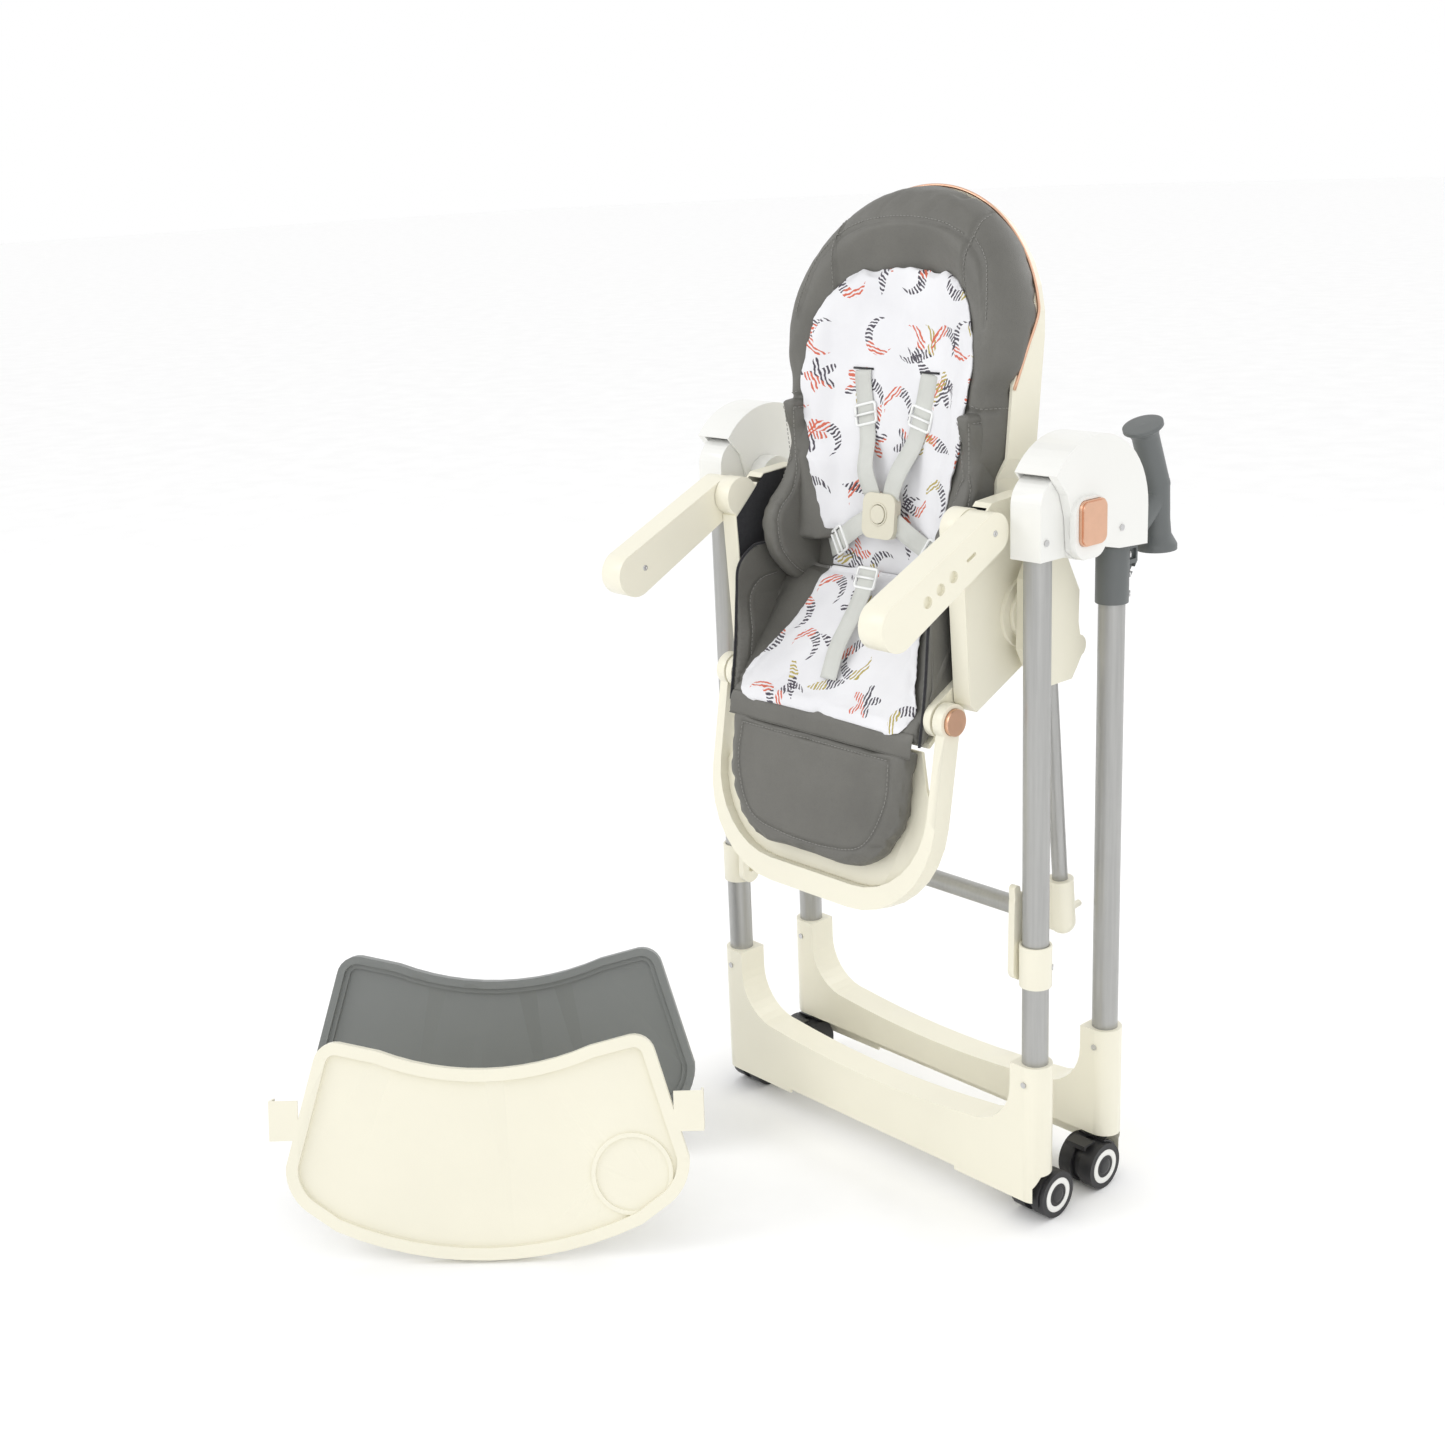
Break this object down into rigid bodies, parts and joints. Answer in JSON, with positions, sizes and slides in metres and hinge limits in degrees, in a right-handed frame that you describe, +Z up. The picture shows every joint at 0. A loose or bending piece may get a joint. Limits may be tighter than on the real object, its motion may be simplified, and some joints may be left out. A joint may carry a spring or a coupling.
{
  "type": "folding high chair",
  "caption": "Folded cream baby high chair on casters with a grey padded seat, patterned insert and two lifted-off trays.",
  "frame": {"origin": "on the floor, below the middle of the whole object's box", "axes": "+Z up; the chair faces -Y, and its left and right legs are apart along X"},
  "size_m": [0.7938, 0.8877, 1.1585],
  "materials": {
    "hub_white": "satin",
    "cream": "satin",
    "tube": "satin",
    "dark_grey": "satin",
    "tray_grey": "satin",
    "leather_grey": "matte",
    "black_cloth": "matte",
    "white_cloth": "matte",
    "webbing": "matte",
    "buckle_beige": "satin",
    "copper": "polished",
    "steel": "satin",
    "wheel_black": "matte",
    "black_plastic": "satin"
  },
  "bodies": {
    "rail_frame": {"rail_tube_left": "tube", "rail_tube_right": "tube", "cross_tube": "tube", "lower_fittings": "cream", "hub_cores": "hub_white"},
    "front_frame": {"front_tube_left": "tube", "front_tube_right": "tube", "front_foot": "cream", "front_collars": "cream", "catch_plates": "cream", "front_cover_left": "hub_white", "front_cover_right": "hub_white", "front_screws": "steel"},
    "rear_frame": {"rear_tube_left": "tube", "rear_tube_right": "tube", "rear_foot": "cream", "hub_dome_left": "hub_white", "hub_dome_right": "hub_white", "grip_bracket_left": "dark_grey", "grip_bracket_right": "dark_grey", "push_handle_left": "dark_grey", "push_handle_right": "dark_grey", "rear_rivets": "steel"},
    "fold_button_left": {"fold_button_left": "copper"},
    "fold_button_right": {"fold_button_right": "copper"},
    "carriage": {"carriage_left": "cream", "carriage_right": "cream", "side_panel_left": "cream", "side_panel_right": "cream", "side_lining": "black_cloth"},
    "seat": {"seat_shell": "cream", "seat_pad": "leather_grey", "seat_liner": "white_cloth", "crotch_strap": "webbing"},
    "backrest": {"backrest_shell": "cream", "backrest_pad": "leather_grey", "back_liner": "white_cloth", "harness_straps": "webbing", "buckle": "buckle_beige"},
    "buckle_button": {"buckle_button": "buckle_beige"},
    "footrest": {"footrest_loop": "cream", "footrest_board": "cream", "calf_pad": "leather_grey"},
    "footrest_button_left": {"footrest_button_left": "copper"},
    "footrest_button_right": {"footrest_button_right": "copper"},
    "armrest_left": {"armrest_left": "cream"},
    "armrest_right": {"armrest_right": "cream"},
    "tray_base": {"tray_base": "tray_grey"},
    "tray_cover": {"tray_cover": "cream"},
    "caster_fork_front_left": {"caster_fork_front_left": "black_plastic"},
    "caster_wheels_front_left": {"caster_wheels_front_left": "wheel_black"},
    "caster_fork_front_right": {"caster_fork_front_right": "black_plastic"},
    "caster_wheels_front_right": {"caster_wheels_front_right": "wheel_black"},
    "caster_fork_rear_left": {"caster_fork_rear_left": "black_plastic"},
    "caster_wheels_rear_left": {"caster_wheels_rear_left": "wheel_black"},
    "caster_fork_rear_right": {"caster_fork_rear_right": "black_plastic"},
    "caster_wheels_rear_right": {"caster_wheels_rear_right": "wheel_black"},
    "brake_lever_left": {"brake_lever_left": "black_plastic"},
    "brake_lever_right": {"brake_lever_right": "black_plastic"}
  },
  "joints": [
    {"name": "front_fold", "type": "hinge", "parent": "rail_frame", "child": "front_frame", "pos_m": [0.10943, 0.26128, 0.819], "axis": [-1, 0, 0], "range_deg": [0, 10]},
    {"name": "rear_fold", "type": "hinge", "parent": "rail_frame", "child": "rear_frame", "pos_m": [0.10943, 0.26128, 0.819], "axis": [1, 0, 0], "range_deg": [0, 26]},
    {"name": "height", "type": "slide", "parent": "rail_frame", "child": "carriage", "axis": [0, -0.0889, 0.996], "range_m": [-0.2, 0]},
    {"name": "seat_tilt", "type": "hinge", "parent": "carriage", "child": "seat", "pos_m": [0.10943, 0.25928, 0.708], "axis": [-1, 0, 0], "range_deg": [0, 42]},
    {"name": "recline", "type": "hinge", "parent": "carriage", "child": "backrest", "pos_m": [0.10943, 0.28928, 0.722], "axis": [-1, 0, 0], "range_deg": [0, 45]},
    {"name": "footrest_swing", "type": "hinge", "parent": "seat", "child": "footrest", "pos_m": [0.10943, 0.15128, 0.604], "axis": [-1, 0, 0], "range_deg": [-50, 25]},
    {"name": "armrest_left_swing", "type": "hinge", "parent": "carriage", "child": "armrest_left", "pos_m": [-0.09557, 0.17128, 0.812], "axis": [-1, 0, 0], "range_deg": [0, 90]},
    {"name": "fold_button_left_press", "type": "slide", "parent": "rear_frame", "child": "fold_button_left", "axis": [1, 0, 0], "range_m": [0, 0.004], "stiffness_N_per_m": 1500, "springref_m": -0.002},
    {"name": "footrest_button_left_press", "type": "slide", "parent": "footrest", "child": "footrest_button_left", "axis": [1, 0, 0], "range_m": [0, 0.003], "stiffness_N_per_m": 1200, "springref_m": -0.002},
    {"name": "armrest_right_swing", "type": "hinge", "parent": "carriage", "child": "armrest_right", "pos_m": [0.31443, 0.17128, 0.812], "axis": [-1, 0, 0], "range_deg": [0, 90]},
    {"name": "fold_button_right_press", "type": "slide", "parent": "rear_frame", "child": "fold_button_right", "axis": [-1, 0, 0], "range_m": [0, 0.004], "stiffness_N_per_m": 1500, "springref_m": -0.002},
    {"name": "footrest_button_right_press", "type": "slide", "parent": "footrest", "child": "footrest_button_right", "axis": [-1, 0, 0], "range_m": [0, 0.003], "stiffness_N_per_m": 1200, "springref_m": -0.002},
    {"name": "buckle_press", "type": "slide", "parent": "backrest", "child": "buckle_button", "axis": [0, 0.9936, -0.1132], "range_m": [0, 0.002], "stiffness_N_per_m": 1200, "springref_m": -0.001},
    {"name": "caster_swivel_front_left", "type": "hinge", "parent": "front_frame", "child": "caster_fork_front_left", "pos_m": [-0.13107, 0.21128, 0.06], "axis": [0, 0, 1], "range_deg": [-15, 15]},
    {"name": "caster_roll_front_left", "type": "hinge", "parent": "caster_fork_front_left", "child": "caster_wheels_front_left", "pos_m": [-0.13107, 0.23128, 0.0282], "axis": [1, 0, 0], "continuous": true},
    {"name": "caster_swivel_front_right", "type": "hinge", "parent": "front_frame", "child": "caster_fork_front_right", "pos_m": [0.34993, 0.21128, 0.06], "axis": [0, 0, 1], "range_deg": [-15, 15]},
    {"name": "caster_roll_front_right", "type": "hinge", "parent": "caster_fork_front_right", "child": "caster_wheels_front_right", "pos_m": [0.34993, 0.23128, 0.0282], "axis": [1, 0, 0], "continuous": true},
    {"name": "caster_swivel_rear_left", "type": "hinge", "parent": "rear_frame", "child": "caster_fork_rear_left", "pos_m": [-0.13107, 0.34028, 0.06], "axis": [0, 0, 1], "range_deg": [-15, 15]},
    {"name": "caster_roll_rear_left", "type": "hinge", "parent": "caster_fork_rear_left", "child": "caster_wheels_rear_left", "pos_m": [-0.13107, 0.32028, 0.0282], "axis": [1, 0, 0], "continuous": true},
    {"name": "caster_swivel_rear_right", "type": "hinge", "parent": "rear_frame", "child": "caster_fork_rear_right", "pos_m": [0.34993, 0.34028, 0.06], "axis": [0, 0, 1], "range_deg": [-15, 15]},
    {"name": "caster_roll_rear_right", "type": "hinge", "parent": "caster_fork_rear_right", "child": "caster_wheels_rear_right", "pos_m": [0.34993, 0.32028, 0.0282], "axis": [1, 0, 0], "continuous": true},
    {"name": "brake_left", "type": "hinge", "parent": "caster_fork_rear_left", "child": "brake_lever_left", "pos_m": [-0.13107, 0.31128, 0.0599], "axis": [1, 0, 0], "range_deg": [0, 12]},
    {"name": "brake_right", "type": "hinge", "parent": "caster_fork_rear_right", "child": "brake_lever_right", "pos_m": [0.34993, 0.31128, 0.0599], "axis": [1, 0, 0], "range_deg": [0, 12]},
    {"name": "tray_base_lift", "type": "slide", "parent": "rail_frame", "child": "tray_base", "axis": [0, 0, 1], "range_m": [0, 0.18]},
    {"name": "tray_cover_lift", "type": "slide", "parent": "rail_frame", "child": "tray_cover", "axis": [0, 0, 1], "range_m": [0, 0.18]}
  ],
  "couplings": [
    {"joint": "rear_fold", "follows": "front_fold", "ratio": 2.6}
  ]
}
